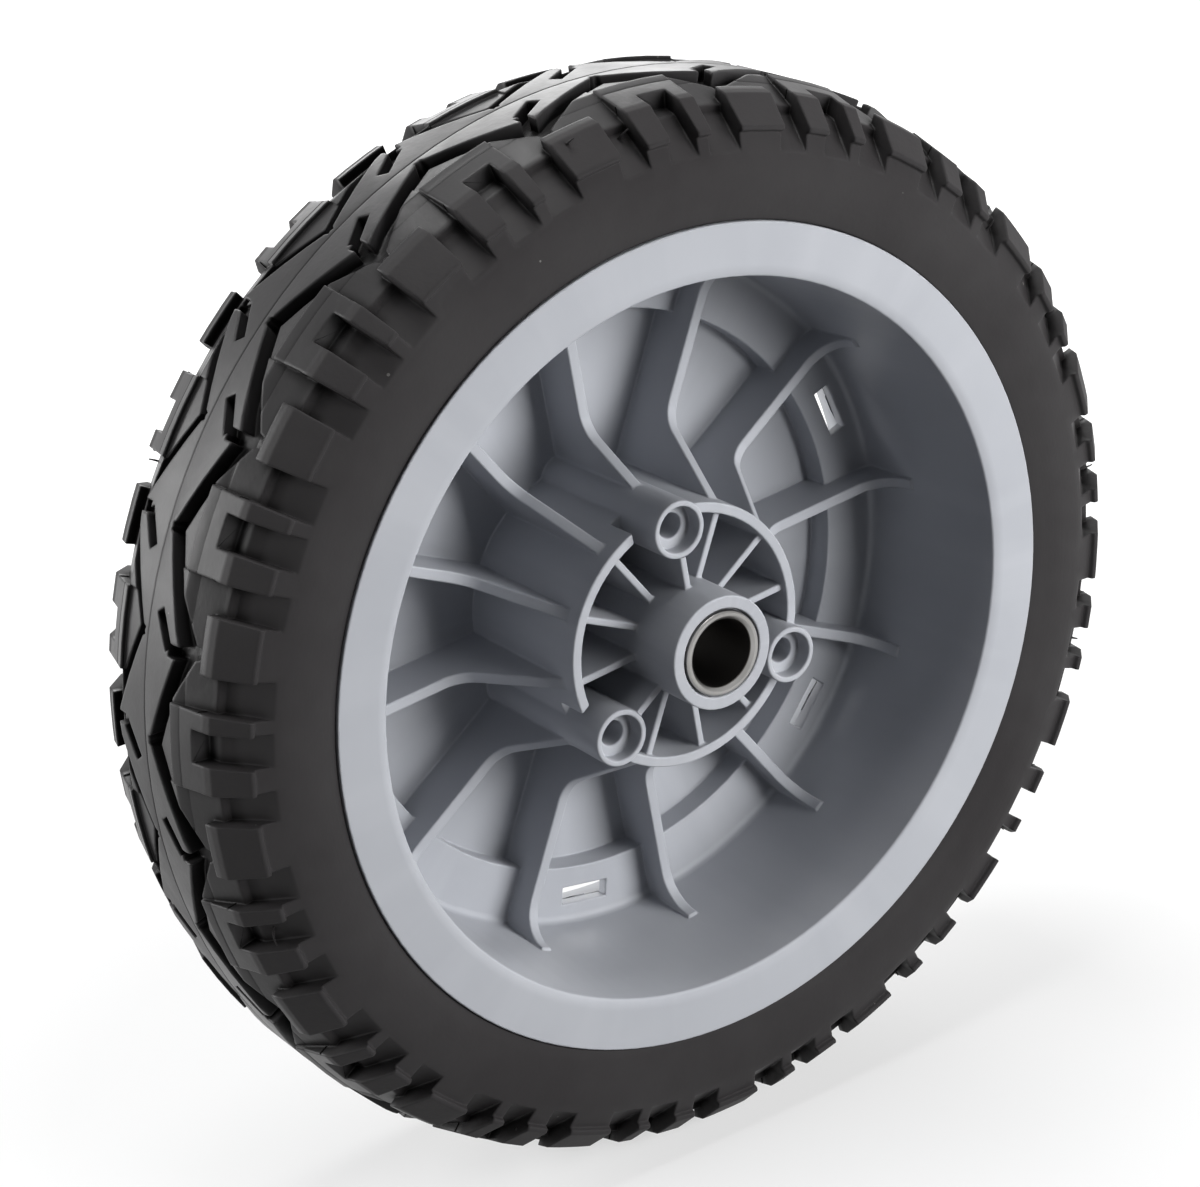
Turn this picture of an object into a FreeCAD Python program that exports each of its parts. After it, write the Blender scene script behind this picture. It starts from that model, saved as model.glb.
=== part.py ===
import FreeCAD, Part
import math
import os

from FreeCAD import Vector

# Lawn mower wheel: rubber tyre, one-piece moulded wheel body and pressed-in steel axle sleeve.
# Sizes are millimetres. Pieces are drawn with the axle along +Z and the ribbed inner side facing +Z,
# then turned upright: axle along Y, ribbed side towards -Y, origin at the wheel's centre.

# Axle sleeve
axle_bore = 12.7
sleeve_diameter = 15.875
sleeve_length = 41.275
sleeve_mouth_chamfer = 0.7
sleeve_edge_chamfer = 0.3

# Tyre
tyre_diameter = 201.6
crown_flat_half = 9.0
shoulder_half = 18.0
shoulder_drop = 2.4
lug_end_half = 23.2
lug_end_drop = 7.2
lug_end_face = 0.8
lug_end_step = 0.8
sidewall_edge_drop = 8.4
sidewall_bulge = 1.5
seat_gap = 0.1
sidewall_runs = 3

# Tread
pitch_count = 17
facets_per_pitch = 4
groove_width = 2.5
groove_depth = 2.9
groove_valley = 2.7
groove_peak = 11.8
gap_inner_depth = 0.5
gap_outer_depth = 2.6
shoulder_gap_depth = 3.2
shoulder_gap_start = 17.0
lug_start = -5.25
lug_stop = 3.1
short_lug_start = 6.25
short_lug_stop = 12.25
short_lug_reach = 15.2
pocket_start = -3.3
pocket_stop = 0.0
pocket_reach = 14.0
nose_reach = 8.8
nose_depth = 0.8
sipe_width = 2.3
sipe_peak_angle = -10.1
sipe_bend = 7.2
sipe_end_angle = -13.3
sipe_end = 3.2

# Rim
rim_width = 46.0
ring_outer_radius = 77.1
ring_lip_width = 7.6
ring_lip_drop = 0.7
rim_mouth_radius = 67.3
rim_root_radius = 65.7
rim_root_fillet = 1.6
seat_radius = 70.5
flange_thickness = 3.0
shelf_outer_radius = 68.0
shelf_outer_drop = 0.9
shelf_inner_radius = 63.9
shelf_inner_drop = 2.7
shelf_sag = 0.5

# Web: a plain disc on the outer face, set back inside an annular groove
disc_radius = 56.0
disc_recess = 4.0
disc_draft = 0.5
disc_edge_round = 0.6
disc_thickness = 2.2
groove_ring_recess = 9.0
groove_ring_outer_radius = 62.2
groove_ring_thickness = 2.4
web_wall = 1.5
slot_count = 6
slot_length = 10.0
slot_width = 3.4
slot_radius = 60.3

# Hub
hub_overhang = 3.2
hub_boss_diameter = 21.4
hub_bore_gap = 0.05
hub_mouth_gap = 0.35
hub_mouth_depth = 1.2
sleeve_proud = 0.4
recess_diameter = 30.2
recess_draft = 0.5
recess_round = 1.2
recess_depth = 4.6
recess_wall = 2.2
barrel_diameter = 50.0
barrel_wall = 2.0
barrel_set_back = 7.4
hub_rib_count = 12
hub_rib_thickness = 1.4
hub_rib_drop = 1.2
boss_rib_drop = 0.4
screw_boss_count = 3
screw_boss_circle = 44.8
screw_boss_diameter = 10.8
screw_boss_set_back = 3.9
screw_hole_diameter = 4.7
screw_hole_depth = 22.0
screw_seat_diameter = 8.6
screw_seat_depth = 3.0
notch_width = 2.2
notch_depth = 7.0

# Vanes between hub barrel and rim
vane_count = 12
vane_thickness = 2.2
vane_root_set_back = 10.5
vane_slope_run = 10.6
vane_floor_set_back = 29.0
vane_knee_round = 6.0
vane_end_round = 7.0

# Turn of the whole wheel on its axle, as it stands
clock_angle = 6.4

# How far pieces of one moulding run into each other before they are joined
root_overlap = 0.6
cutter_reach = 6.0

CENTRE = Vector(0, 0, 0)
AXLE = Vector(0, 0, 1)

# Levels along the axle
inner_face = rim_width / 2
outer_face = -rim_width / 2
disc_outer = outer_face + disc_recess
disc_inner = disc_outer + disc_thickness
groove_ring_outer = outer_face + groove_ring_recess
groove_ring_inner = groove_ring_outer + groove_ring_thickness
hub_face = inner_face + hub_overhang
recess_floor = disc_outer + recess_depth
recess_back = recess_floor + recess_wall
sleeve_top = hub_face + sleeve_proud
barrel_face = inner_face - barrel_set_back
screw_boss_face = inner_face - screw_boss_set_back
vane_floor = inner_face - vane_floor_set_back
flange_side = inner_face - flange_thickness

# Radii
sleeve_radius = sleeve_diameter / 2
hub_bore_radius = sleeve_radius + hub_bore_gap
hub_boss_radius = hub_boss_diameter / 2
barrel_radius = barrel_diameter / 2
recess_radius = recess_diameter / 2
screw_circle_radius = screw_boss_circle / 2
web_step_radius = disc_radius - web_wall
tyre_radius = tyre_diameter / 2
pitch_angle = 360 / pitch_count
degree_length = math.radians(1) * tyre_radius


def at(radius, height):
    return Vector(radius, 0, height)


def closed_face(edges):
    return Part.Face(Part.Wire(edges))


def lines(points):
    return [Part.LineSegment(a, b).toShape() for a, b in zip(points, points[1:])]


def arc(a, middle, b):
    return Part.Arc(a, middle, b).toShape()


def polygon(points):
    return closed_face(lines(points + points[:1]))


def spun(face):
    return face.revolve(CENTRE, AXLE, 360)


def polar(radius, angle, height):
    turn = math.radians(angle)
    return Vector(radius * math.cos(turn), radius * math.sin(turn), height)


def faceted(points, first=0, count=pitch_count * facets_per_pitch):
    """Ring with flat facets round a closed section of (height, radius) points, or a sector of it."""
    step = pitch_angle / facets_per_pitch
    faces = []
    for i in range(first, first + count):
        a = i * step
        b = a + step
        for (h0, r0), (h1, r1) in zip(points, points[1:] + points[:1]):
            faces.append(polygon([polar(r0, a, h0), polar(r0, b, h0), polar(r1, b, h1), polar(r1, a, h1)]))
    if count < pitch_count * facets_per_pitch:
        for end in (first, first + count):
            faces.append(polygon([polar(r, end * step, h) for h, r in points]))
    return Part.makeSolid(Part.makeShell(faces))


def turned(shape, angle):
    copy = shape.copy()
    copy.rotate(CENTRE, AXLE, angle)
    return copy


def ring_of(shape, count, first=0.0):
    return [turned(shape, first + 360 * i / count) for i in range(count)]


def cylinder(radius, bottom, top, x=0.0, y=0.0):
    return Part.makeCylinder(radius, top - bottom, Vector(x, y, bottom), AXLE)


def plate(points, thickness):
    """Plate in a radial plane, centred on it."""
    face = polygon([Vector(r, -thickness / 2, z) for r, z in points])
    return face.extrude(Vector(0, thickness, 0))


def offset_profile(points, depth):
    """Open profile of (height, radius) points moved inwards by depth, square to each run."""
    runs = []
    for (h0, r0), (h1, r1) in zip(points, points[1:]):
        length = math.hypot(h1 - h0, r1 - r0)
        along = ((h1 - h0) / length, (r1 - r0) / length)
        inward = (along[1] * depth, -along[0] * depth)
        runs.append(((h0 + inward[0], r0 + inward[1]), along))
    first, along = runs[0]
    moved = [first]
    for (p, u), (q, v) in zip(runs, runs[1:]):
        cross = u[0] * v[1] - u[1] * v[0]
        t = ((q[0] - p[0]) * v[1] - (q[1] - p[1]) * v[0]) / cross
        moved.append((p[0] + t * u[0], p[1] + t * u[1]))
    last, along = runs[-1]
    reach = math.hypot(points[-1][0] - points[-2][0], points[-1][1] - points[-2][1]) + cutter_reach
    moved.append((last[0] + along[0] * reach, last[1] + along[1] * reach))
    return moved


# Lug tops from the middle of the tread to the lug ends, as (height, radius)
tread_top = [
    (-groove_peak, tyre_radius),
    (crown_flat_half, tyre_radius),
    (shoulder_half, tyre_radius - shoulder_drop),
    (lug_end_half, tyre_radius - lug_end_drop),
]


def tyre_half():
    """Section of the tyre from the middle of its tread to the middle of its seat, as (height, radius)."""
    side = flange_side - seat_gap
    seat = seat_radius + seat_gap
    edge = ring_outer_radius + seat_gap
    sidewall_half = lug_end_half - lug_end_step
    sidewall_radius = tyre_radius - sidewall_edge_drop
    sidewall = []
    for i in range(1, sidewall_runs):
        share = i / sidewall_runs
        bulge = sidewall_bulge * (1 - (2 * share - 1) ** 2)
        sidewall.append((sidewall_half + bulge, sidewall_radius + (edge - sidewall_radius) * share))
    return tread_top[1:] + [
        (lug_end_half, tyre_radius - lug_end_drop - lug_end_face),
        (sidewall_half, sidewall_radius),
    ] + sidewall + [(sidewall_half, edge), (side, edge), (side, seat)]


def tyre_blank():
    half = tyre_half()
    return faceted(half + [(-h, r) for h, r in reversed(half)])


def level_floor(depth):
    return offset_profile(tread_top, depth)


def gap_floor():
    """Floor between the lugs: shallow beside the groove and deeper towards the shoulder."""
    inner = tyre_radius - gap_inner_depth
    outer = tyre_radius - shoulder_drop - gap_outer_depth
    end = lug_end_half + cutter_reach
    return [(-groove_peak, inner), (crown_flat_half, inner), (shoulder_half, outer), (end, outer)]


def tread_space(floor):
    """Sector of the space above a tread floor."""
    roof = tyre_radius + cutter_reach
    return faceted(floor + [(floor[-1][0], roof), (floor[0][0], roof)], -facets_per_pitch, 2 * facets_per_pitch)


def tread_cutter(outline, floor):
    """Cutter for an outline of (angle, height) points, square to the tread at the outline's middle."""
    middle = sum(angle for angle, height in outline) / len(outline)
    start = tyre_radius - lug_end_drop - cutter_reach
    points = [Vector(start, (angle - middle) * degree_length, height) for angle, height in outline]
    prism = polygon(points).extrude(Vector(tyre_radius + cutter_reach - start, 0, 0))
    return turned(prism, middle).common(tread_space(floor))


def slot_outline(a, b, width):
    """Outline of a straight slot between two (angle, height) points."""
    along = ((b[0] - a[0]) * degree_length, b[1] - a[1])
    length = math.hypot(*along)
    side = (-along[1] / length * width / 2 / degree_length, along[0] / length * width / 2)
    return [
        (a[0] - side[0], a[1] - side[1]),
        (b[0] - side[0], b[1] - side[1]),
        (b[0] + side[0], b[1] + side[1]),
        (a[0] + side[0], a[1] + side[1]),
    ]


def zigzag_height(angle):
    """Middle of the zigzag groove, lowest at the valley (angle 0) and highest at the peaks."""
    share = abs((angle + pitch_angle / 2) % pitch_angle - pitch_angle / 2) / (pitch_angle / 2)
    return groove_valley + (groove_peak - groove_valley) * share


def groove_leg(first, last):
    """One leg of the zigzag groove, run on past both corners so that neighbouring legs meet."""
    a = (first, zigzag_height(first))
    b = (last, zigzag_height(last))
    share = groove_width / 2 / math.hypot((last - first) * degree_length, b[1] - a[1])
    run = ((b[0] - a[0]) * share, (b[1] - a[1]) * share)
    a = (a[0] - run[0], a[1] - run[1])
    b = (b[0] + run[0], b[1] + run[1])
    return tread_cutter(slot_outline(a, b, groove_width), level_floor(groove_depth))


def block(first, last, inner, outer):
    return [(first, inner), (last, inner), (last, outer), (first, outer)]


def beside_groove(first, last, outer):
    """Outline from the middle of one groove leg out to a level height."""
    return [(first, zigzag_height(first)), (last, zigzag_height(last)), (last, outer), (first, outer)]


def tread_cut():
    """Everything cut from one side of one pitch of the tread."""
    half = pitch_angle / 2
    end = lug_end_half + cutter_reach
    before = short_lug_stop - pitch_angle
    deep = level_floor(shoulder_gap_depth)
    sipe_floor = level_floor(groove_depth)
    nose = [
        (0, zigzag_height(0)),
        (lug_stop, zigzag_height(lug_stop)),
        (lug_stop, nose_reach),
        (lug_start, nose_reach),
        (lug_start, zigzag_height(lug_start)),
    ]
    bend = (sipe_peak_angle, sipe_bend)
    sipe_top = (sipe_peak_angle, groove_peak)
    sipe_tip = (sipe_end_angle, sipe_end)
    cuts = [
        groove_leg(0, half),
        groove_leg(-half, 0),
        tread_cutter(beside_groove(lug_stop, half, short_lug_reach), gap_floor()),
        tread_cutter(beside_groove(-half, lug_start, short_lug_reach), gap_floor()),
        tread_cutter(block(lug_stop, short_lug_start, short_lug_reach, end), gap_floor()),
        tread_cutter(block(before, lug_start, short_lug_reach, end), gap_floor()),
        tread_cutter(block(lug_stop, short_lug_start, shoulder_gap_start, end), deep),
        tread_cutter(block(before, lug_start, shoulder_gap_start, end), deep),
        tread_cutter(block(pocket_start, pocket_stop, pocket_reach, end), deep),
        tread_cutter(nose, level_floor(nose_depth)),
        tread_cutter(slot_outline(sipe_top, bend, sipe_width), sipe_floor),
        tread_cutter(slot_outline(bend, sipe_tip, sipe_width), sipe_floor),
    ]
    return cuts[0].fuse(cuts[1:])


def make_tyre():
    near = tread_cut()
    turn_axis = Vector(math.cos(math.radians(pitch_angle / 4)), math.sin(math.radians(pitch_angle / 4)), 0)
    far = near.copy()
    far.rotate(CENTRE, turn_axis, 180)
    cuts = ring_of(near, pitch_count, clock_angle) + ring_of(far, pitch_count, clock_angle)
    return turned(tyre_blank(), clock_angle).cut(cuts).removeSplitter()


def body_blank():
    """Rim, web and hub as one turned section."""
    shelf_outer = at(shelf_outer_radius, outer_face + shelf_outer_drop)
    shelf_inner = at(shelf_inner_radius, outer_face + shelf_inner_drop)
    shelf_middle = (shelf_outer + shelf_inner) * 0.5 + Vector(0, 0, shelf_sag)
    fillet = rim_root_fillet
    diagonal = fillet * (1 - math.sqrt(0.5))
    root = [
        at(rim_root_radius, groove_ring_inner + fillet),
        at(rim_root_radius - diagonal, groove_ring_inner + diagonal),
        at(rim_root_radius - fillet, groove_ring_inner),
    ]
    rim_inside = [
        at(ring_outer_radius, inner_face),
        at(ring_outer_radius - ring_lip_width, inner_face),
        at(rim_mouth_radius, inner_face - ring_lip_drop),
    ]
    inside = [
        at(web_step_radius, groove_ring_inner),
        at(web_step_radius, disc_inner),
        at(recess_radius + recess_wall, disc_inner),
        at(recess_radius + recess_wall, recess_back),
        at(hub_boss_radius, recess_back),
        at(hub_boss_radius, hub_face),
        at(hub_bore_radius + hub_mouth_gap, hub_face),
        at(hub_bore_radius + hub_mouth_gap, hub_face - hub_mouth_depth),
        at(hub_bore_radius, hub_face - hub_mouth_depth),
        at(hub_bore_radius, recess_floor),
        at(recess_radius - recess_draft, recess_floor),
    ]
    lip = recess_round * (1 - math.sqrt(0.5))
    recess_rim = [
        at(recess_radius, disc_outer + recess_round),
        at(recess_radius + lip, disc_outer + lip),
        at(recess_radius + recess_round, disc_outer),
    ]
    edge = disc_edge_round * (1 - math.sqrt(0.5))
    disc_edge = [
        at(disc_radius - disc_edge_round, disc_outer),
        at(disc_radius - edge, disc_outer + edge),
        at(disc_radius, disc_outer + disc_edge_round),
    ]
    groove = [
        at(disc_radius + disc_draft, groove_ring_outer),
        at(groove_ring_outer_radius, groove_ring_outer),
        shelf_inner,
    ]
    rim_outside = [
        shelf_outer,
        at(shelf_outer_radius, outer_face),
        at(ring_outer_radius, outer_face),
        at(ring_outer_radius, -flange_side),
        at(seat_radius, -flange_side),
        at(seat_radius, flange_side),
        at(ring_outer_radius, flange_side),
    ]
    section = rim_inside + root + inside + recess_rim + disc_edge + groove + [shelf_middle] + rim_outside
    return spun(polygon(section))


def vane():
    """Radial plate: steep from the hub barrel, rounded into a level run, rounded up to the rim wall."""
    half = vane_thickness / 2
    top = inner_face - vane_root_set_back
    root = barrel_radius - root_overlap
    end = rim_root_radius + root_overlap
    corner = barrel_radius + vane_slope_run
    slope = (top - vane_floor) / vane_slope_run
    lean = math.atan(slope)
    run = vane_knee_round * math.tan(lean / 2)
    before = (corner - run * math.cos(lean), vane_floor + run * math.sin(lean))
    after = (corner + run, vane_floor)
    middle_angle = -math.pi / 2 - lean / 2
    middle = (
        after[0] + vane_knee_round * math.cos(middle_angle),
        vane_floor + vane_knee_round * (1 + math.sin(middle_angle)),
    )
    rise = (rim_root_radius - vane_end_round, vane_floor)
    rise_middle = (
        rise[0] + vane_end_round * math.sqrt(0.5),
        vane_floor + vane_end_round * (1 - math.sqrt(0.5)),
    )
    rise_end = (rim_root_radius, vane_floor + vane_end_round)
    bottom = disc_inner - root_overlap
    step = groove_ring_inner - root_overlap
    side = [(root, bottom), (root, top + root_overlap * slope), before]
    under = [
        rise_end,
        (end, rise_end[1]),
        (end, step),
        (web_step_radius + root_overlap, step),
        (web_step_radius + root_overlap, bottom),
        (root, bottom),
    ]

    def place(point):
        return Vector(point[0], -half, point[1])

    edges = lines([place(p) for p in side])
    edges.append(arc(place(before), place(middle), place(after)))
    edges += lines([place(after), place(rise)])
    edges.append(arc(place(rise), place(rise_middle), place(rise_end)))
    edges += lines([place(p) for p in under])
    return closed_face(edges).extrude(Vector(0, vane_thickness, 0))


def hub_rib(top):
    bottom = disc_inner - root_overlap
    points = [
        (hub_boss_radius - root_overlap, recess_back - root_overlap),
        (recess_radius + root_overlap, recess_back - root_overlap),
        (recess_radius + root_overlap, bottom),
        (barrel_radius - barrel_wall + root_overlap, bottom),
        (barrel_radius - barrel_wall + root_overlap, barrel_face - hub_rib_drop),
        (screw_circle_radius - screw_seat_diameter / 2 - root_overlap, top),
        (hub_boss_radius - root_overlap, top),
    ]
    return plate(points, hub_rib_thickness)


def barrel_notch(side):
    """Gap between the hub barrel and one side (1 or -1) of a screw boss."""
    start = screw_boss_diameter / 2 - root_overlap
    corner = Vector(barrel_radius - 2 * barrel_wall, start, barrel_face - notch_depth)
    if side < 0:
        corner.y = -start - root_overlap - notch_width
    return Part.makeBox(3 * barrel_wall, notch_width + root_overlap, notch_depth, corner)


def make_wheel_body():
    bottom = disc_inner - root_overlap
    boss_step = 360 / screw_boss_count
    barrel = cylinder(barrel_radius, bottom, barrel_face).cut(
        cylinder(barrel_radius - barrel_wall, bottom, barrel_face))
    barrel = barrel.cut([barrel_notch(1), turned(barrel_notch(-1), boss_step)])
    screw_boss = cylinder(screw_boss_diameter / 2, bottom, screw_boss_face, screw_circle_radius)
    screw_hole = cylinder(
        screw_hole_diameter / 2, screw_boss_face - screw_hole_depth, screw_boss_face, screw_circle_radius)
    screw_seat = cylinder(
        screw_seat_diameter / 2, screw_boss_face - screw_seat_depth, screw_boss_face, screw_circle_radius)
    slot = Part.makeBox(
        slot_width, slot_length, groove_ring_thickness + 2 * root_overlap,
        Vector(slot_radius - slot_width / 2, -slot_length / 2, groove_ring_outer - root_overlap))
    vane_step = 360 / vane_count
    added = [barrel]
    added += ring_of(vane(), vane_count)
    added += ring_of(hub_rib(barrel_face - hub_rib_drop), hub_rib_count)
    added += ring_of(hub_rib(screw_boss_face - boss_rib_drop), screw_boss_count)
    added += ring_of(screw_boss, screw_boss_count)
    removed = ring_of(screw_hole.fuse(screw_seat), screw_boss_count)
    removed += ring_of(slot, slot_count, -vane_step / 2)
    body = body_blank().fuse(added).cut(removed).removeSplitter()
    first_boss = clock_angle + 90
    return turned(body, first_boss)


def make_axle_sleeve():
    bottom = sleeve_top - sleeve_length
    bore = axle_bore / 2
    half = [
        at(bore, sleeve_top - sleeve_mouth_chamfer),
        at(bore + sleeve_mouth_chamfer, sleeve_top),
        at(sleeve_radius - sleeve_edge_chamfer, sleeve_top),
        at(sleeve_radius, sleeve_top - sleeve_edge_chamfer),
        at(sleeve_radius, bottom + sleeve_edge_chamfer),
        at(sleeve_radius - sleeve_edge_chamfer, bottom),
        at(bore + sleeve_mouth_chamfer, bottom),
        at(bore, bottom + sleeve_mouth_chamfer),
    ]
    return spun(polygon(half))


pieces = {
    "tyre": make_tyre(),
    "wheel_body": make_wheel_body(),
    "axle_sleeve": make_axle_sleeve(),
}

os.makedirs("parts", exist_ok=True)
for name, shape in pieces.items():
    solid = shape.Solids[0]
    solid.rotate(CENTRE, Vector(1, 0, 0), 90)
    solid.exportStep("parts/" + name + ".step")
    print(name, "solids", len(shape.Solids), "valid", solid.isValid(), "volume", round(solid.Volume))
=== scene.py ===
import bpy
import bmesh
import math
import random
from mathutils import Matrix, Vector
from mathutils.bvhtree import BVHTree


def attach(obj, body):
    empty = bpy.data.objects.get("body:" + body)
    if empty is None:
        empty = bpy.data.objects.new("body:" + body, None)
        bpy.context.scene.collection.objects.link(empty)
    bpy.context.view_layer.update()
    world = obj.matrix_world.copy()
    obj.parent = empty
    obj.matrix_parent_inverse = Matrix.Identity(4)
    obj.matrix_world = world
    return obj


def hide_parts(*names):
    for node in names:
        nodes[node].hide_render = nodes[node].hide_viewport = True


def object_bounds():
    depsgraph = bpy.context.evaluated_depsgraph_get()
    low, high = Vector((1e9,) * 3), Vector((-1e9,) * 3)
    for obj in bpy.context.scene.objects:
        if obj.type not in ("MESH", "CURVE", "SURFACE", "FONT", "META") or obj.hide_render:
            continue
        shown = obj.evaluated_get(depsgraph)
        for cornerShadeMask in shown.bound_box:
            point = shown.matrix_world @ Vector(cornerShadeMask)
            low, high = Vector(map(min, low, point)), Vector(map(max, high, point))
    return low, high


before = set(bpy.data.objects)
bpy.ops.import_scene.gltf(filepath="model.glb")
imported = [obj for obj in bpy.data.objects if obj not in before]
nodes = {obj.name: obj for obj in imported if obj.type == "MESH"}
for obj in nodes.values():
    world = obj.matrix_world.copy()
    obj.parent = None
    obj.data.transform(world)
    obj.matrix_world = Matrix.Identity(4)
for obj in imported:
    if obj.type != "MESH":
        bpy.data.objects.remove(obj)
cadBox = [list(cornerShadeMask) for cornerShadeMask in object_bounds()]
mm = 0.001
print("frame loaded:", sorted(nodes))


# A shader socket: a + b, 1 - mask and so on add their own Math nodes
class Wire:
    def __init__(self, graph, socket):
        self.graph = graph
        self.socket = socket

    def calc(self, operation, first, second):
        return self.graph.add("ShaderNodeMath", {"operation": operation}, {0: first, 1: second})

    def __add__(self, other):
        return self.calc("ADD", self, other)

    def __radd__(self, other):
        return self.calc("ADD", other, self)

    def __sub__(self, other):
        return self.calc("SUBTRACT", self, other)

    def __rsub__(self, other):
        return self.calc("SUBTRACT", other, self)

    def __mul__(self, other):
        return self.calc("MULTIPLY", self, other)

    def __rmul__(self, other):
        return self.calc("MULTIPLY", other, self)

    def __truediv__(self, other):
        return self.calc("DIVIDE", self, other)

    def __rtruediv__(self, other):
        return self.calc("DIVIDE", other, self)

    def __pow__(self, other):
        return self.calc("POWER", self, other)

    def __gt__(self, other):
        return self.calc("GREATER_THAN", self, other)

    def __lt__(self, other):
        return self.calc("LESS_THAN", self, other)


# The node tree of a material or of the world
class Finish:
    def __init__(self, owner):
        owner.use_nodes = True
        self.owner = owner
        self.tree = owner.node_tree
        self.tree.nodes.clear()

    def add(self, kind, settings=None, values=None, out=0):
        node = self.tree.nodes.new(kind)
        for key, value in (settings or {}).items():
            setattr(node, key, value)
        for key, value in (values or {}).items():
            if isinstance(value, Wire):
                self.tree.links.new(value.socket, node.inputs[key])
            else:
                node.inputs[key].default_value = value
        return Wire(self, node.outputs[out]) if len(node.outputs) else None

    def pick(self, wire, keys):
        return [Wire(self, wire.socket.node.outputs[key]) for key in keys]

    def coords(self):
        return self.add("ShaderNodeTexCoord", out="Object")

    def split(self, where):
        return self.pick(self.add("ShaderNodeSeparateXYZ", values={"Vector": where}), range(3))

    def join(self, *parts):
        return self.add("ShaderNodeCombineXYZ", values=dict(enumerate(parts)))

    def noise(self, where, scale, detail, rough=0.5):
        values = {"Vector": where, "Scale": scale, "Detail": detail, "Roughness": rough}
        return self.add("ShaderNodeTexNoise", values=values, out="Fac")

    def remap(self, value, low, high, toLow=0.0, toHigh=1.0):
        values = {0: value, 1: low, 2: high, 3: toLow, 4: toHigh}
        return self.add("ShaderNodeMapRange", {"clamp": True}, values)

    def mix(self, factor, first, second):
        return self.add("ShaderNodeMix", {"data_type": "RGBA"}, {0: factor, 6: first, 7: second}, out=2)

    def bump(self, height, strength, distance, under=None):
        values = {"Height": height, "Strength": strength, "Distance": distance}
        if under:
            values["Normal"] = under
        return self.add("ShaderNodeBump", values=values)

    def principled(self, values):
        return self.add("ShaderNodeBsdfPrincipled", values=values)

    def output(self, shader):
        self.add("ShaderNodeOutputMaterial", values={"Surface": shader})
        return self.owner


def distance(a, b):
    return (a * a + b * b) ** 0.5


def fade(first, second, mask):
    return first + mask * (second - first)


# In the looks below a noise is scale, detail and roughness, a span is what a value is
# remapped from and to, and a bump is strength and depth

# Moulded plastic of the wheel body
plasticLook = {
    "paint": (0.366, 0.377, 0.405, 1),
    "deep": (0.338, 0.349, 0.377, 1),
    "streak": (0.396, 0.407, 0.435, 1),
    "ior": 1.5,
    "specular": 0.28,
    "cloudNoise": (38, 4),
    "grainNoise": (2600, 2),
    "flowNoise": (1.5, 3),
    "dragNoise": (1.0, 2),
    "fanRound": 4.0,
    "fanOut": 9.0,
    "pullAcross": 420.0,
    "pullAlong": 14.0,
    "deepSpan": (0.35, 0.7),
    "streakSpan": (0.48, 0.72, 0, 0.6),
    "roughShares": (0.4, 0.3, 0.3),
    "roughSpan": (0.3, 0.7, 0.34, 0.46),
    "waveBump": (0.05, 0.8 * mm),
    "lineBump": (0.10, 0.05 * mm),
    "grainBump": (0.06, 0.05 * mm),
}


def makePlastic():
    look = plasticLook
    f = Finish(bpy.data.materials.new("wheelPlastic"))
    where = f.coords()
    x, y, z = f.split(where)
    radius = distance(x, z)
    cloud = f.noise(where, *look["cloudNoise"])
    grain = f.noise(where, *look["grainNoise"])
    # flow marks that run out from the gate at the hub
    fan = f.join(x / radius * look["fanRound"], radius * look["fanOut"], z / radius * look["fanRound"])
    flow = f.noise(fan, *look["flowNoise"])
    # faint lines along the axle where the mould drew off the walls
    pull = f.join(x * look["pullAcross"], y * look["pullAlong"], z * look["pullAcross"])
    drag = f.noise(pull, *look["dragNoise"])
    paint = f.mix(f.remap(cloud, *look["deepSpan"]), look["paint"], look["deep"])
    paint = f.mix(f.remap(flow, *look["streakSpan"]), paint, look["streak"])
    ofCloud, ofFlow, ofDrag = look["roughShares"]
    rough = f.remap(cloud * ofCloud + flow * ofFlow + drag * ofDrag, *look["roughSpan"])
    wave = f.bump(cloud, *look["waveBump"])
    lines = f.bump(drag, *look["lineBump"], wave)
    skin = f.bump(grain, *look["grainBump"], lines)
    return f.output(f.principled({
        "Base Color": paint,
        "Roughness": rough,
        "Normal": skin,
        "IOR": look["ior"],
        "Specular IOR Level": look["specular"],
    }))
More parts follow.
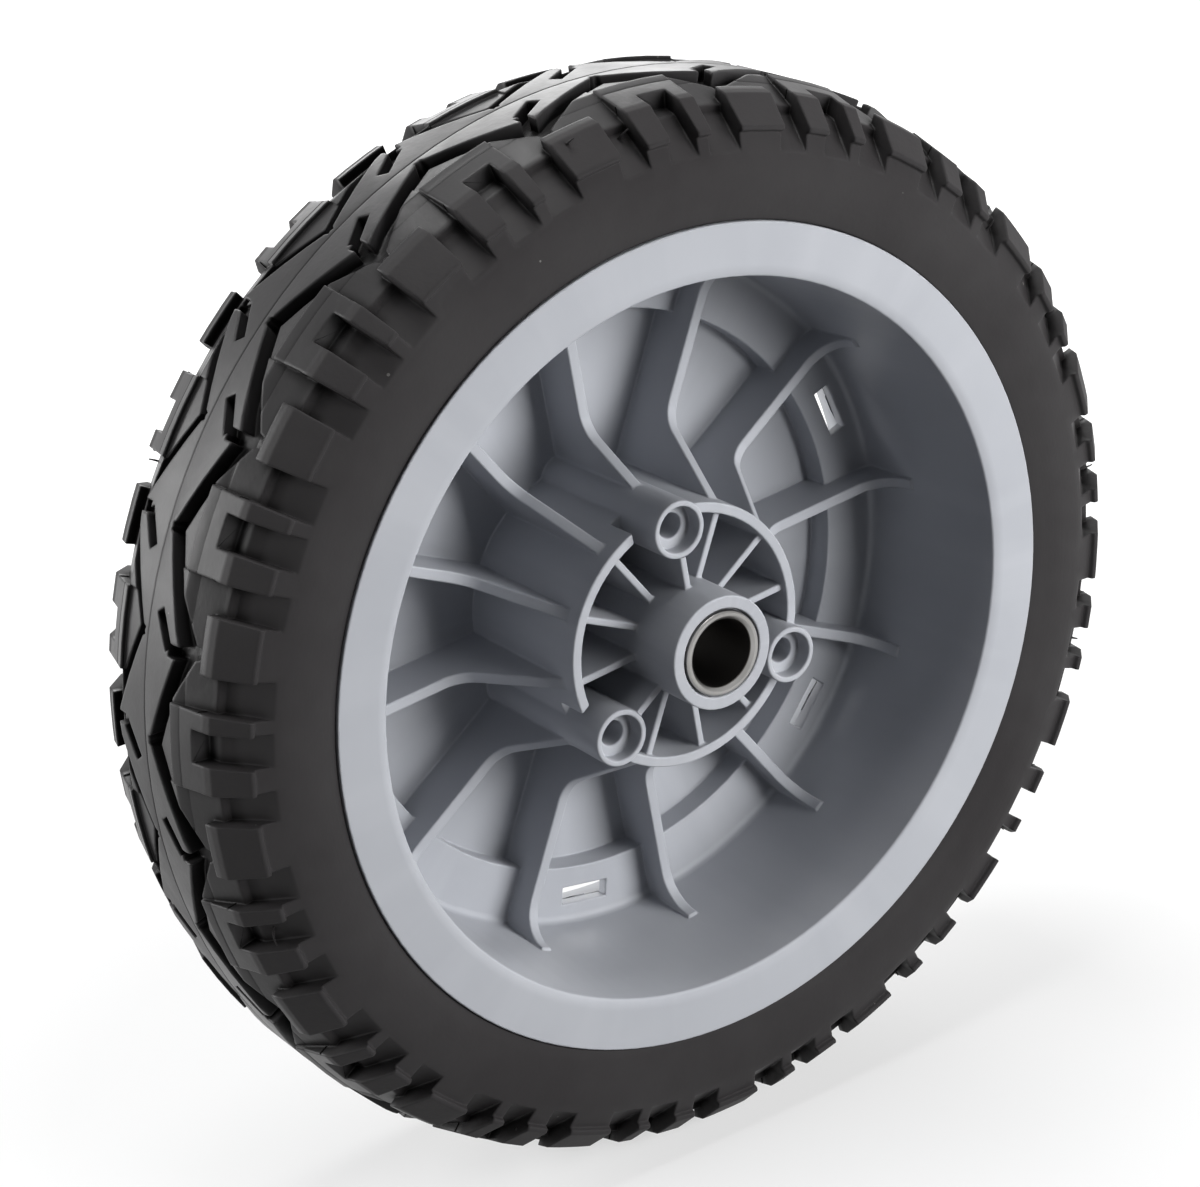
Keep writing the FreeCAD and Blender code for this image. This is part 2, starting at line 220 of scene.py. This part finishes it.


# Moulded rubber of the tyre: smooth sidewall, random light bloom, a lighter crown that is a painted
# sheen, matt lug ends left darker as painted shade, and painted shade in the tread's inner corners
rubberLook = {
    "black": (0.0170, 0.0156, 0.0163, 1),
    "bloom": (0.0260, 0.0247, 0.0254, 1),
    # lighter colour of the crown, a painted sheen
    "crownSheen": (0.0260, 0.0252, 0.0260, 1),
    "scuff": (0.0400, 0.0385, 0.0390, 1),
    "dust": (0.16, 0.155, 0.15, 1),
    # near-black painted shade for the inner corners of the tread
    "cornerShade": (0.0060, 0.0056, 0.0054, 1),
    "ior": 1.5,
    "specular": 0.20,
    "treadSpan": (92.6 * mm, 93.8 * mm),
    "endSpan": (16.0 * mm, 16.8 * mm),
    "cloudNoise": (30, 5, 0.6),
    "patchNoise": (95, 4, 0.6),
    "grainNoise": (1700, 3),
    "coarseNoise": (900, 2, 0.6),
    "latheNoise": (1.0, 2),
    "latheOut": 2600.0,
    "latheRound": 9.0,
    "speckleScale": 150.0,
    "speckleSize": 0.045,
    "sparseNoise": (130, 1),
    "sparseAbove": 0.60,
    "dustShare": 0.8,
    "scuffNoise": (240, 5, 0.7),
    "scuffSpan": (0.60, 0.80, 0, 0.55),
    "bloomSpan": (0.35, 0.75),
    "crownSheenShare": 0.75,
    "roughShares": (0.6, 0.4),
    "roughSpan": (0.3, 0.7, 0.28, 0.44),
    "roughWall": 0.50,
    "roughEnds": 0.66,
    "edge": 0.6 * mm,
    "edgeSamples": 6,
    "waveBump": (0.16, 0.9 * mm),
    "latheBump": (0.16, 0.06 * mm),
    "coarseBump": (0.35, 0.12 * mm),
    "grainBump": (0.14, 0.08 * mm),
    "cornerReach": 2.2 * mm,
    "cornerSamples": 8,
    "cornerSpan": (0.50, 0.92, 0.85, 0),
    "cornerShadeRough": 0.9,
    "cornerShadeSpecular": 0.0,
}


def makeRubber():
    look = rubberLook
    f = Finish(bpy.data.materials.new("tyreRubber"))
    where = f.coords()
    x, y, z = f.split(where)
    radius = distance(x, z)
    side = f.add("ShaderNodeMath", {"operation": "ABSOLUTE"}, {0: y})
    tread = f.remap(radius, *look["treadSpan"])
    ends = f.remap(side, *look["endSpan"]) * tread
    cloud = f.noise(where, *look["cloudNoise"])
    patch = f.noise(where, *look["patchNoise"])
    grain = f.noise(where, *look["grainNoise"])
    coarse = f.noise(where, *look["coarseNoise"])
    # turning marks of the mould on the sidewall
    rings = f.join(radius * look["latheOut"], x * look["latheRound"], z * look["latheRound"])
    lathe = f.noise(rings, *look["latheNoise"])
    # a few specks of dust
    cells = {"Vector": where, "Scale": look["speckleScale"]}
    speckle = f.add("ShaderNodeTexVoronoi", {"feature": "F1"}, cells, out="Distance")
    sparse = f.noise(where, *look["sparseNoise"])
    dust = (speckle < look["speckleSize"]) * (sparse > look["sparseAbove"])
    scuff = f.remap(f.noise(where, *look["scuffNoise"]), *look["scuffSpan"]) * tread
    tone = f.mix(f.remap(cloud, *look["bloomSpan"]), look["black"], look["bloom"])
    # painted sheen: the tread away from the lug ends gets a lighter colour in place of its sheen, which
    # leaves the lug ends darker as painted shade
    tone = f.mix(tread * (1 - ends) * look["crownSheenShare"], tone, look["crownSheen"])
    tone = f.mix(scuff * (1 - ends), tone, look["scuff"])
    tone = f.mix(dust * look["dustShare"], tone, look["dust"])
    ofPatch, ofCloud = look["roughShares"]
    rough = f.remap(patch * ofPatch + cloud * ofCloud, *look["roughSpan"])
    rough = fade(rough, look["roughWall"], 1 - tread)
    rough = fade(rough, look["roughEnds"], ends)
    soft = f.add("ShaderNodeBevel", {"samples": look["edgeSamples"]}, {"Radius": look["edge"]})
    wave = f.bump(patch, *look["waveBump"], soft)
    turned = f.bump(lathe * (1 - tread), *look["latheBump"], wave)
    matt = f.bump(coarse * ends, *look["coarseBump"], turned)
    skin = f.bump(grain, *look["grainBump"], matt)
    # painted shade: the inner corners of the tread, found by ambient occlusion, are mixed to a
    # near-black dull shader with no reflection
    probe = {"samples": look["cornerSamples"], "only_local": True}
    openness = f.add("ShaderNodeAmbientOcclusion", probe, {"Distance": look["cornerReach"]}, out="AO")
    cornerShadeMask = f.remap(openness, *look["cornerSpan"])
    bare = f.principled({
        "Base Color": tone,
        "Roughness": rough,
        "Normal": skin,
        "IOR": look["ior"],
        "Specular IOR Level": look["specular"],
    })
    cornerShade = f.principled({
        "Base Color": look["cornerShade"],
        "Roughness": look["cornerShadeRough"],
        "Specular IOR Level": look["cornerShadeSpecular"],
    })
    return f.output(f.add("ShaderNodeMixShader", values={0: cornerShadeMask * tread, 1: bare, 2: cornerShade}))


# Turned steel of the axle sleeve: bright ends, and a bore coloured near black as painted shade in the
# hole
steelLook = {
    "bright": (0.30, 0.295, 0.288, 1),
    "stain": (0.20, 0.192, 0.18, 1),
    # near-black painted shade inside the bore
    "bore": (0.055, 0.050, 0.046, 1),
    "boreSpan": (6.42 * mm, 6.54 * mm, 1, 0),
    "turnedOut": 9000.0,
    "turnedAlong": 6000.0,
    "lineNoise": (1.0, 2),
    "cloudNoise": (120, 3),
    "stainSpan": (0.45, 0.75, 0, 0.6),
    "roughShares": (0.5, 0.5),
    "roughSpan": (0.3, 0.7, 0.26, 0.42),
    "roughBore": 0.5,
    "lineBump": (0.12, 0.05 * mm),
}


def makeSteel():
    look = steelLook
    f = Finish(bpy.data.materials.new("sleeveSteel"))
    where = f.coords()
    x, y, z = f.split(where)
    radius = distance(x, z)
    turned = f.join(radius * look["turnedOut"], y * look["turnedAlong"], 0.0)
    lines = f.noise(turned, *look["lineNoise"])
    cloud = f.noise(where, *look["cloudNoise"])
    bore = f.remap(radius, *look["boreSpan"])
    tone = f.mix(f.remap(cloud, *look["stainSpan"]), look["bright"], look["stain"])
    # painted shade: the inside of the bore is coloured near black
    tone = f.mix(bore, tone, look["bore"])
    ofLines, ofCloud = look["roughShares"]
    rough = f.remap(lines * ofLines + cloud * ofCloud, *look["roughSpan"])
    rough = fade(rough, look["roughBore"], bore)
    skin = f.bump(lines, *look["lineBump"])
    return f.output(f.principled({
        "Base Color": tone,
        "Roughness": rough,
        "Metallic": 1.0,
        "Normal": skin,
    }))


plastic = makePlastic()
rubber = makeRubber()
steel = makeSteel()
print("finishes made")


def addObject(name, data):
    added = bpy.data.objects.new(name, data)
    bpy.context.scene.collection.objects.link(added)
    return added


def addMesh(name, mesh, material):
    data = bpy.data.meshes.new(name)
    mesh.to_mesh(data)
    mesh.free()
    data.materials.append(material)
    return addObject(name, data)


# A merged copy of a CAD node with its sharp edges rounded
def softCopy(node, edges):
    mesh = bmesh.new()
    mesh.from_mesh(nodes[node].data)
    bmesh.ops.remove_doubles(mesh, verts=mesh.verts, dist=edges["weld"])
    bmesh.ops.dissolve_degenerate(mesh, edges=mesh.edges, dist=edges["weld"])
    bmesh.ops.dissolve_limit(
        mesh, angle_limit=math.radians(edges["flat"]), verts=mesh.verts, edges=mesh.edges,
        use_dissolve_boundaries=False, delimit=set())
    limit = math.radians(edges["sharp"])
    sharp = [e for e in mesh.edges if len(e.link_faces) == 2 and e.calc_face_angle(0) > limit]
    bmesh.ops.bevel(
        mesh, geom=sharp, offset=edges["round"], offset_type="OFFSET", affect="EDGES",
        segments=edges["steps"], profile=0.5, material=-1, clamp_overlap=False)
    bmesh.ops.recalc_face_normals(mesh, faces=mesh.faces)
    return mesh


def finishPiece(mesh, name, node, material, edges):
    crease = math.radians(edges["crease"])
    for face in mesh.faces:
        face.smooth = True
    for edge in mesh.edges:
        edge.smooth = len(edge.link_faces) == 2 and edge.calc_face_angle(0) < crease
    piece = addMesh(name, mesh, material)
    even = piece.modifiers.new("evenNormals", "WEIGHTED_NORMAL")
    even.mode = "FACE_AREA"
    even.weight = edges["evenWeight"]
    even.keep_sharp = True
    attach(piece, "root")
    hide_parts(node)
    print(name + ":", len(piece.data.polygons), "faces")


# Tyre: angles in degrees apart from clock, which is where its first facet starts
tyre = {
    "weld": 2e-6,
    "flat": 0.6,
    "sharp": 24,
    "round": 0.2 * mm,
    "steps": 2,
    "crease": 60,
    "evenWeight": 60,
    "pitches": 17,
    "facets": 68,
    "clock": math.radians(6.4),
    "cutSnap": 1e-7,
    "seams": (0.0, 11.0 * mm, -11.0 * mm),
    "seamHalf": 0.22 * mm,
    "seamDepth": 0.26 * mm,
    "seamReach": 92.0 * mm,
    "seamSnap": 1e-6,
    "hairSeed": 11,
    "hairCount": 11,
    "hairLugs": (-4.2, 1.6, 8.0, 10.5),
    "hairAside": (17.5 * mm, 21.5 * mm),
    "hairFrom": 120 * mm,
    "hairLength": (1.8 * mm, 3.4 * mm),
    "hairCurl": (60, 190),
    "hairRoot": 0.30 * mm,
    "hairTip": 0.14 * mm,
    "hairWalls": 6,
    "hairCuts": 4,
    "hairSway": 0.5,
    "hairLean": 0.6,
    "hairSunk": 0.25 * mm,
}


def cutPlane(mesh, point, normal):
    geom = mesh.verts[:] + mesh.edges[:] + mesh.faces[:]
    bmesh.ops.bisect_plane(mesh, geom=geom, dist=tyre["cutSnap"], plane_co=point, plane_no=normal)


# The CAD tread is built of flat facets: cut each in two and push it out to the true circle
def roundFacets(mesh):
    step = 2 * math.pi / tyre["facets"]
    for i in range(tyre["facets"] // 2):
        angle = tyre["clock"] + (i + 0.5) * step
        cutPlane(mesh, (0, 0, 0), (-math.sin(angle), 0, math.cos(angle)))
    for vert in mesh.verts:
        turn = (math.atan2(vert.co.z, vert.co.x) - tyre["clock"]) % step - step / 2
        grow = math.cos(turn) / math.cos(step / 2)
        vert.co.x *= grow
        vert.co.z *= grow


# Fine lines where the halves and rings of the mould met
def cutSeams(mesh):
    for seam in tyre["seams"]:
        for shift in (-tyre["seamHalf"], 0, tyre["seamHalf"]):
            cutPlane(mesh, (0, seam + shift, 0), (0, 1, 0))
        for vert in mesh.verts:
            radius = math.hypot(vert.co.x, vert.co.z)
            if abs(vert.co.y - seam) < tyre["seamSnap"] and radius > tyre["seamReach"]:
                shrink = 1 - tyre["seamDepth"] / radius
                vert.co.x *= shrink
                vert.co.z *= shrink


# Moulding hairs left by the vents, on a few of the lug ends
def addHairs(mesh):
    random.seed(tyre["hairSeed"])
    surface = BVHTree.FromBMesh(mesh)
    sway = tyre["hairSway"]
    for _ in range(tyre["hairCount"]):
        pitch = random.randrange(tyre["pitches"])
        side = random.choice((-1, 1))
        lug = random.choice(tyre["hairLugs"])
        angle = tyre["clock"] + math.radians(side * lug + pitch * 360 / tyre["pitches"])
        outward = Vector((math.cos(angle), 0, math.sin(angle)))
        start = outward * tyre["hairFrom"] + Vector((0, side * random.uniform(*tyre["hairAside"]), 0))
        spot = surface.ray_cast(start, -outward)[0]
        length = random.uniform(*tyre["hairLength"])
        curl = random.uniform(*tyre["hairCurl"])
        hair = bmesh.new()
        bmesh.ops.create_cone(
            hair, cap_ends=True, segments=tyre["hairWalls"], radius1=tyre["hairRoot"],
            radius2=tyre["hairTip"], depth=length)
        walls = [e for e in hair.edges if abs(e.verts[0].co.z - e.verts[1].co.z) > length / 2]
        bmesh.ops.subdivide_edges(hair, edges=walls, cuts=tyre["hairCuts"])
        for vert in hair.verts:
            vert.co.z += length / 2
            vert.co.x += curl * vert.co.z ** 2
        lean = outward + Vector(
            (random.uniform(-sway, sway), side * tyre["hairLean"], random.uniform(-sway, sway)))
        turn = lean.to_track_quat("Z", "Y").to_matrix().to_4x4()
        place = Matrix.Translation(spot - outward * tyre["hairSunk"]) @ turn
        bmesh.ops.transform(hair, matrix=place, verts=hair.verts)
        strand = bpy.data.meshes.new("strand")
        hair.to_mesh(strand)
        hair.free()
        mesh.from_mesh(strand)
        bpy.data.meshes.remove(strand)


tyreMesh = softCopy("tyre", tyre)
roundFacets(tyreMesh)
cutSeams(tyreMesh)
addHairs(tyreMesh)
finishPiece(tyreMesh, "tyreSkin", "tyre", rubber, tyre)

# Wheel body
wheelBody = {
    "weld": 2e-6,
    "flat": 0.4,
    "sharp": 24,
    "round": 0.36 * mm,
    "steps": 3,
    "crease": 60,
    "evenWeight": 60,
}
finishPiece(softCopy("wheel_body", wheelBody), "wheelShell", "wheel_body", plastic, wheelBody)

# Axle sleeve
sleeve = {
    "weld": 2e-6,
    "flat": 0.1,
    "sharp": 24,
    "round": 0.14 * mm,
    "steps": 2,
    "crease": 60,
    "evenWeight": 60,
}
finishPiece(softCopy("axle_sleeve", sleeve), "sleeveTube", "axle_sleeve", steel, sleeve)


# Studio: white paper that is a little darker round the wheel, so that its shadow shows
studio = {
    "floorSize": 6.0,
    "bounceTone": (0.08, 0.08, 0.082, 1),
    "paperNear": (0.55, 0.55, 0.55, 1),
    "paperFade": (0.12, 0.45),
    "paperTone": (0.36, 0.36, 0.36, 1),
    "white": (1, 1, 1, 1),
    "whiteStrength": 1.0,
    "worldTone": (0.96, 0.98, 1.0, 1),
    "worldStrength": 0.01,
    "raysShownWhite": ("Is Camera Ray", "Is Glossy Ray", "Is Transmission Ray"),
}
# The key lamp is hidden from reflections, where it left white flecks on the rubber
lamps = {
    "keyBox": {
        "place": (0.40, -0.64, 0.15), "aim": (0, -0.02, 0.03), "power": 9.9, "size": (0.5, 0.5),
        "gloss": False,
    },
    "topBox": {"place": (0.0, 0.04, 0.80), "power": 4.4, "size": (0.35, 0.35)},
    "sideBox": {"place": (-0.85, 0.62, 0.26), "power": 14.0, "size": (0.9, 0.7)},
    "backBox": {"place": (0.40, 0.85, 0.45), "power": 5.0, "size": (0.6, 0.6)},
}


# 1 for the camera and for reflections, which see white, and 0 for light that bounces off the dark tone
def seenBy(f):
    camera, glossy, clear = f.pick(f.add("ShaderNodeLightPath"), studio["raysShownWhite"])
    return f.add("ShaderNodeMath", {"operation": "MINIMUM"}, {0: camera + glossy + clear, 1: 1.0})


def makeFloor():
    mesh = bmesh.new()
    bmesh.ops.create_grid(mesh, x_segments=1, y_segments=1, size=studio["floorSize"])
    bmesh.ops.translate(mesh, verts=mesh.verts, vec=(0, 0, cadBox[0][2]))
    f = Finish(bpy.data.materials.new("floorPaper"))
    bounce = f.add("ShaderNodeBsdfDiffuse", values={"Color": studio["bounceTone"]})
    x, y = f.split(f.coords())[:2]
    away = f.remap(distance(x, y), *studio["paperFade"])
    tone = f.mix(away, studio["paperNear"], studio["white"])
    glow = f.add("ShaderNodeEmission", values={"Color": tone, "Strength": studio["whiteStrength"]})
    shade = f.add("ShaderNodeBsdfDiffuse", values={"Color": studio["paperTone"]})
    paper = f.add("ShaderNodeAddShader", values={0: glow, 1: shade})
    both = f.add("ShaderNodeMixShader", values={0: seenBy(f), 1: bounce, 2: paper})
    floor = addMesh("floor", mesh, f.output(both))


def makeWorld():
    world = bpy.data.worlds.new("studioWorld")
    bpy.context.scene.world = world
    f = Finish(world)
    dim, white = (
        f.add("ShaderNodeBackground", values={"Color": studio[tone], "Strength": studio[strength]})
        for tone, strength in (("worldTone", "worldStrength"), ("white", "whiteStrength")))
    both = f.add("ShaderNodeMixShader", values={0: seenBy(f), 1: dim, 2: white})
    f.add("ShaderNodeOutputWorld", values={"Surface": both})


def addLamp(name, place, power, size, aim=(0, 0, 0), gloss=True):
    lamp = bpy.data.lights.new(name, "AREA")
    lamp.shape = "RECTANGLE"
    lamp.size, lamp.size_y = size
    lamp.energy = power
    holder = addObject(name, lamp)
    holder.location = place
    holder.visible_glossy = gloss
    holder.rotation_euler = (Vector(aim) - Vector(place)).to_track_quat("-Z", "Y").to_euler()


makeFloor()
makeWorld()
for lampName, lampValues in lamps.items():
    addLamp(lampName, **lampValues)

# Camera where the photograph was taken from, turned to the wheel
view = {
    "place": (-0.2967, -0.4396, 0.2236),
    "right": (0.81715, -0.57207, -0.07072),
    "up": (0.2733, 0.27648, 0.92134),
    "back": (-0.50751, -0.7722, 0.38227),
    "lens": 93.7,
    "sensor": 36,
    "nearest": 0.01,
}
lensBody = bpy.data.cameras.new("camera")
lensBody.lens = view["lens"]
lensBody.sensor_width = view["sensor"]
lensBody.clip_start = view["nearest"]
camera = addObject("camera", lensBody)
viewTurn = Matrix((view["right"], view["up"], view["back"])).transposed().to_4x4()
camera.matrix_world = Matrix.Translation(view["place"]) @ viewTurn
bpy.context.scene.camera = camera
bpy.context.scene.view_settings.view_transform = "Standard"
print("studio and camera set")
